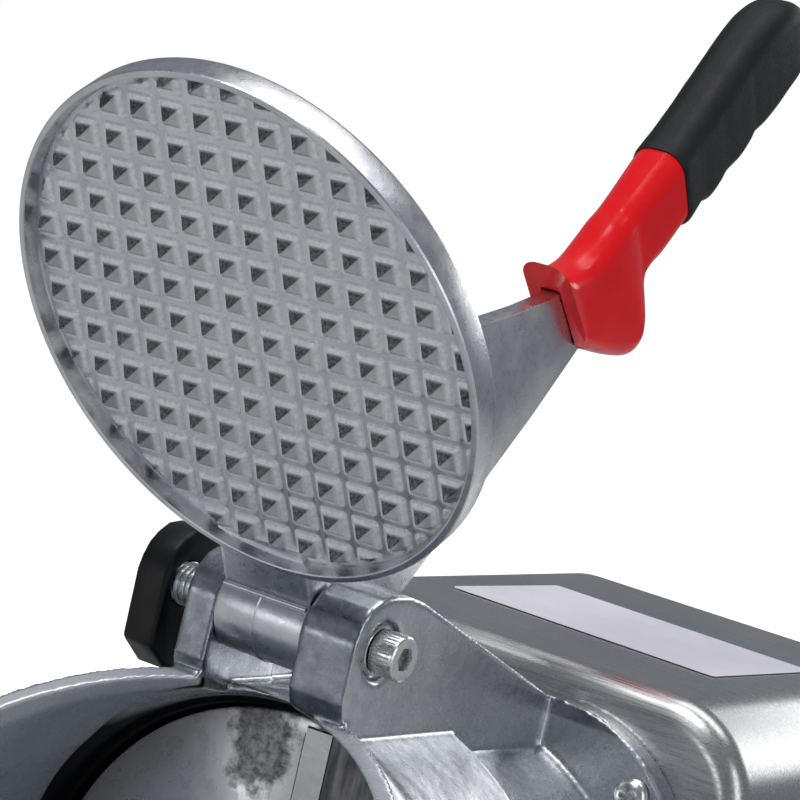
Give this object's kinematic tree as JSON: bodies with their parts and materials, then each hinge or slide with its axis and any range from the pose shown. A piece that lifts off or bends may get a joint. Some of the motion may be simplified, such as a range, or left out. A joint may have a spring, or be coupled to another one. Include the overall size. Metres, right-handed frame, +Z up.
{
  "type": "electric ice shaver",
  "caption": "Countertop electric ice shaver with a slanted cast hopper, spinning cutter disc, hinged waffle-faced pressure lid with a lever handle, and a stainless motor housing.",
  "frame": {"origin": "on the counter, at the centre of the bounding box seen from above", "axes": "+X to the right of a person facing the hopper, +Y back towards the motor housing, +Z up"},
  "size_m": [0.183, 0.4152, 0.4238],
  "materials": {
    "cast_aluminium": "as-cast and machined, semi-bright",
    "disc_aluminium": "turned, lightly scuffed",
    "stainless_steel": "fine brushed satin",
    "blade_steel": "ground",
    "zinc_steel": "bright zinc plated",
    "black_plastic": "moulded satin",
    "red_plastic": "moulded gloss",
    "red_vinyl": "dipped gloss vinyl",
    "black_grip": "soft matte vinyl",
    "black_rubber": "moulded matte",
    "label_film": "blank pale film",
    "painted_steel": "satin paint",
    "lamination_steel": "varnished laminations",
    "copper_wire": "varnished winding",
    "white_nylon": "plain moulded"
  },
  "bodies": {
    "base": {"hopper_casting": "cast_aluminium", "flange_screw_1": "zinc_steel", "flange_screw_2": "zinc_steel", "flange_screw_3": "zinc_steel", "flange_screw_4": "zinc_steel", "ice_chute": "stainless_steel", "chute_screw_1": "zinc_steel", "chute_screw_2": "zinc_steel", "housing_shell": "stainless_steel", "rating_label": "label_film", "rear_cover": "stainless_steel", "cover_screw_1": "zinc_steel", "cover_screw_2": "zinc_steel", "cover_screw_3": "zinc_steel", "cover_screw_4": "zinc_steel", "switch_body": "black_plastic", "cord_gland": "black_plastic", "rubber_foot_1": "black_rubber", "foot_screw_1": "zinc_steel", "rubber_foot_2": "black_rubber", "foot_screw_2": "zinc_steel", "rubber_foot_3": "black_rubber", "foot_screw_3": "zinc_steel", "rubber_foot_4": "black_rubber", "foot_screw_4": "zinc_steel", "motor_plate": "painted_steel", "motor_front_bell": "cast_aluminium", "motor_rear_bell": "cast_aluminium", "motor_stator": "lamination_steel", "winding_front": "copper_wire", "winding_rear": "copper_wire", "front_bearing": "zinc_steel", "rear_bearing": "zinc_steel", "shaft_seal": "black_rubber", "run_capacitor": "white_nylon", "capacitor_clamp": "zinc_steel", "hinge_bolt": "zinc_steel", "hinge_washer": "zinc_steel"},
    "lid": {"pressure_plate": "cast_aluminium", "handle_guard": "red_vinyl", "handle_grip": "black_grip"},
    "clamp": {"clamp_stud": "zinc_steel", "clamp_knob": "black_plastic"},
    "spindle": {"motor_rotor": "lamination_steel", "motor_shaft": "zinc_steel", "cooling_fan": "black_plastic", "cutter_disc": "disc_aluminium", "disc_nut": "zinc_steel", "blade_1": "blade_steel", "blade_2": "blade_steel", "blade_screw_1": "zinc_steel", "blade_screw_2": "zinc_steel", "blade_screw_3": "zinc_steel", "blade_screw_4": "zinc_steel"},
    "rocker": {"switch_rocker": "red_plastic"}
  },
  "joints": [
    {"name": "lid_hinge", "type": "hinge", "parent": "base", "child": "lid", "pos_m": [0, -0.0679, 0.22435], "axis": [1, 0, 0], "range_deg": [-6, 141]},
    {"name": "clamp_turn", "type": "hinge", "parent": "base", "child": "clamp", "pos_m": [-0.045, -0.0679, 0.22435], "axis": [1, 0, 0], "range_deg": [0, 150]},
    {"name": "spindle_spin", "type": "hinge", "parent": "base", "child": "spindle", "pos_m": [0, -0.05, 0.1185], "axis": [0, 1, 0], "continuous": true},
    {"name": "switch_tilt", "type": "hinge", "parent": "base", "child": "rocker", "pos_m": [0.045, 0.1945, 0.06], "axis": [1, 0, 0], "range_deg": [-18, 0]}
  ]
}
